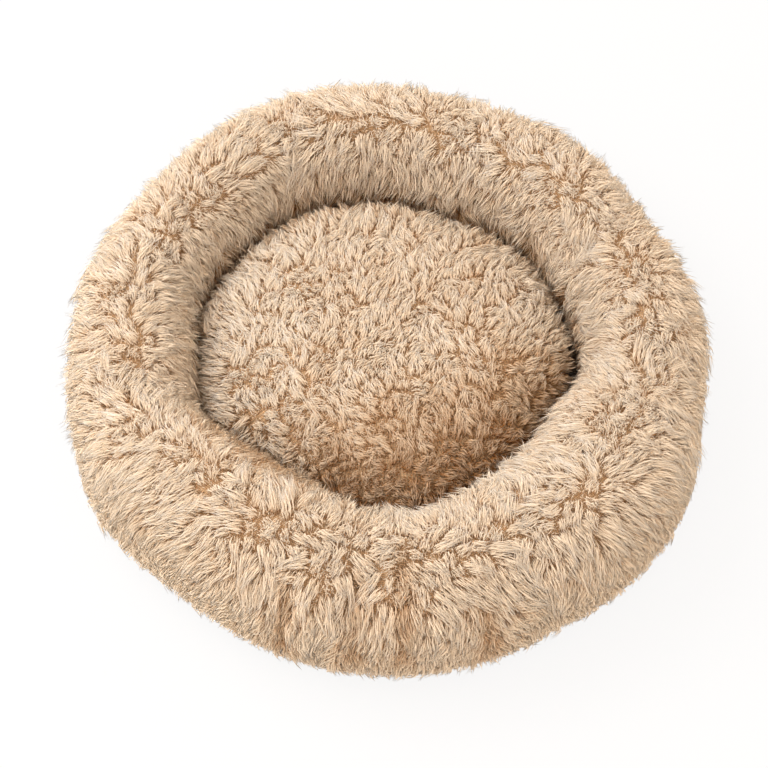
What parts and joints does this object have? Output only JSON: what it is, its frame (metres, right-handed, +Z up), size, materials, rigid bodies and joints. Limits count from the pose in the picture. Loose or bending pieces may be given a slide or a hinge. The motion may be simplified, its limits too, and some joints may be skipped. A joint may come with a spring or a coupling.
{
  "type": "donut pet bed",
  "caption": "Round plush pet bed: a stuffed ring of long faux fur round a loose domed fur cushion, over a base cloth with a zip.",
  "frame": {"origin": "on the floor, at the middle of the bed's outline", "axes": "+Z up, +X the bed's right side and +Y its back, as the picture shows it from the front"},
  "size_m": [0.5932, 0.5899, 0.1743],
  "materials": {
    "ring_fur": "matte",
    "cushion_fur": "matte",
    "case_cloth": "matte",
    "fibre": "matte",
    "base_cloth": "matte",
    "binding": "matte",
    "zip_tape": "matte",
    "zip_row": "satin",
    "zip_metal": "satin"
  },
  "bodies": {
    "bed": {"bolster_cover": "ring_fur", "bolster_liner": "case_cloth", "bolster_fill": "fibre", "base_panel": "base_cloth", "base_binding": "binding", "floor_panel": "case_cloth", "zip_tape_front": "zip_tape", "zip_tape_back": "zip_tape", "zip_coil_front": "zip_row", "zip_coil_back": "zip_row", "zip_stop_left": "zip_metal", "zip_stop_right": "zip_metal"},
    "cushion": {"cushion_cover": "cushion_fur", "cushion_base": "case_cloth", "cushion_piping": "binding", "cushion_fill": "fibre"},
    "slider": {"zip_slider": "zip_metal"},
    "pull": {"zip_pull": "zip_metal"}
  },
  "joints": [
    {"name": "cushion_lift", "type": "slide", "parent": "bed", "child": "cushion", "axis": [0, 0, 1], "range_m": [0, 0.2]},
    {"name": "zip_slide", "type": "slide", "parent": "bed", "child": "slider", "axis": [-1, 0, 0], "range_m": [0, 0.2804]},
    {"name": "pull_swing", "type": "hinge", "parent": "slider", "child": "pull", "pos_m": [0.1402, 0, 0.0084], "axis": [0, -1, 0], "range_deg": [0, 180]}
  ]
}
